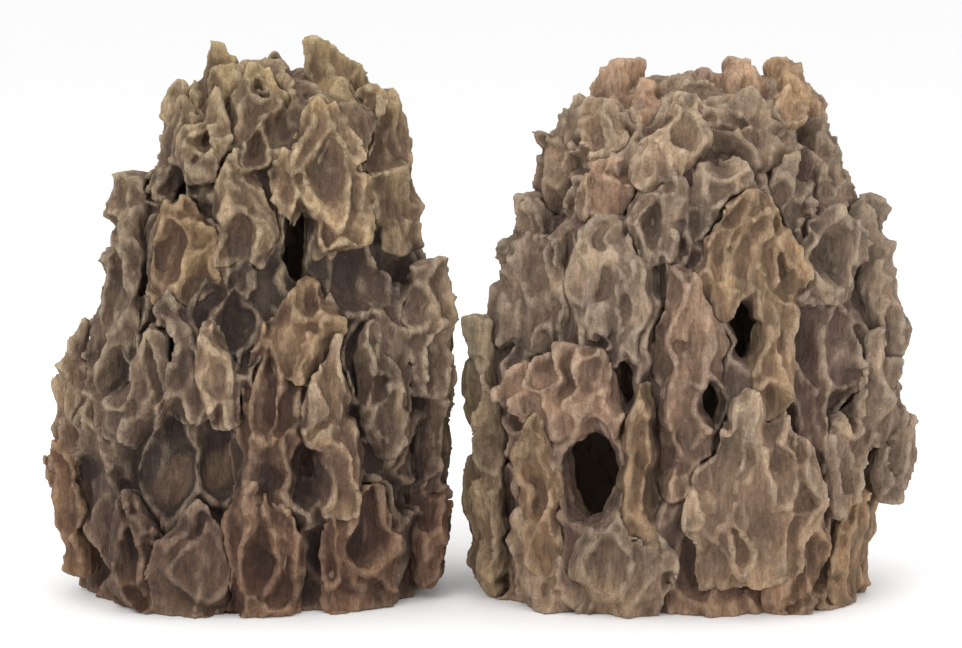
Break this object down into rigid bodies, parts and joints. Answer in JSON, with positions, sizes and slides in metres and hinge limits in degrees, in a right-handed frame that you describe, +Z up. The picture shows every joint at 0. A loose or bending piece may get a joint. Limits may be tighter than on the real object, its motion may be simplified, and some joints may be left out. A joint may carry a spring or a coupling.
{
  "type": "cave ornament",
  "caption": "Two hollow resin aquarium rocks with ridged, pitted stones, a cave mouth, windows and crest spires, standing side by side on open rims.",
  "frame": {"origin": "on the floor, at the middle of the pair's bounding box", "axes": "+X along the pair, from the left rock to the right rock as seen from the front; +Y to the rear, the front faces -Y; +Z up"},
  "size_m": [0.489, 0.1745, 0.315],
  "materials": {
    "left_shell_resin": "matt painted cast resin, dark brown in the pockets",
    "left_stone_resin": "matt painted cast resin, tan crests over brown",
    "right_shell_resin": "matt painted cast resin, dark brown in the pockets",
    "right_stone_resin": "matt painted cast resin, grey-tan with ochre and rust"
  },
  "bodies": {
    "left_rock": {"left_front_shell": "left_shell_resin", "left_rear_shell": "left_shell_resin", "left_crown_blade": "left_stone_resin", "left_square_spire": "left_stone_resin", "left_pointed_spire": "left_stone_resin", "left_crest_stub": "left_stone_resin", "left_crest_tooth": "left_stone_resin", "left_shoulder_column": "left_stone_resin", "left_window_stone": "left_stone_resin", "left_upper_slab": "left_stone_resin", "left_small_blade": "left_stone_resin", "left_side_shoulder": "left_stone_resin", "left_pocket_frame": "left_stone_resin", "left_great_slab": "left_stone_resin", "left_rim_slab": "left_stone_resin", "left_broken_stone": "left_stone_resin", "left_flank_block": "left_stone_resin", "left_diagonal_rib": "left_stone_resin", "left_hanging_slab": "left_stone_resin", "left_pale_wedge": "left_stone_resin", "left_centre_pillar": "left_stone_resin", "left_fingers": "left_stone_resin", "left_right_blade": "left_stone_resin", "left_right_strip": "left_stone_resin", "left_foot_knob": "left_stone_resin", "left_foot_slab": "left_stone_resin", "left_foot_block": "left_stone_resin", "left_foot_right": "left_stone_resin", "left_foot_side": "left_stone_resin", "left_rear_stones": "left_stone_resin"},
    "right_rock": {"right_front_shell": "right_shell_resin", "right_rear_shell": "right_shell_resin", "right_brow_slab": "right_stone_resin", "right_left_peak": "right_stone_resin", "right_centre_peak": "right_stone_resin", "right_round_peak": "right_stone_resin", "right_crown_slab": "right_stone_resin", "right_pale_dome": "right_stone_resin", "right_left_brow": "right_stone_resin", "right_pink_stone": "right_stone_resin", "right_slant_stones": "right_stone_resin", "right_mid_stones": "right_stone_resin", "right_upper_flank": "right_stone_resin", "right_cup_stone": "right_stone_resin", "right_flank_crest": "right_stone_resin", "right_skull_slab": "right_stone_resin", "right_rough_plate": "right_stone_resin", "right_mouth_lintel": "right_stone_resin", "right_left_jamb": "right_stone_resin", "right_right_jamb": "right_stone_resin", "right_columns": "right_stone_resin", "right_left_face": "right_stone_resin", "right_side_stones": "right_stone_resin", "right_foot_slant": "right_stone_resin", "right_foot_block": "right_stone_resin", "right_foot_rib": "right_stone_resin", "right_foot_corner": "right_stone_resin", "right_mid_flank": "right_stone_resin", "right_ear_stone": "right_stone_resin", "right_rear_stones": "right_stone_resin"}
  },
  "joints": [
    {"name": "part_the_rocks", "type": "slide", "parent": "left_rock", "child": "right_rock", "axis": [1, 0, 0], "range_m": [0, 0.12]}
  ]
}
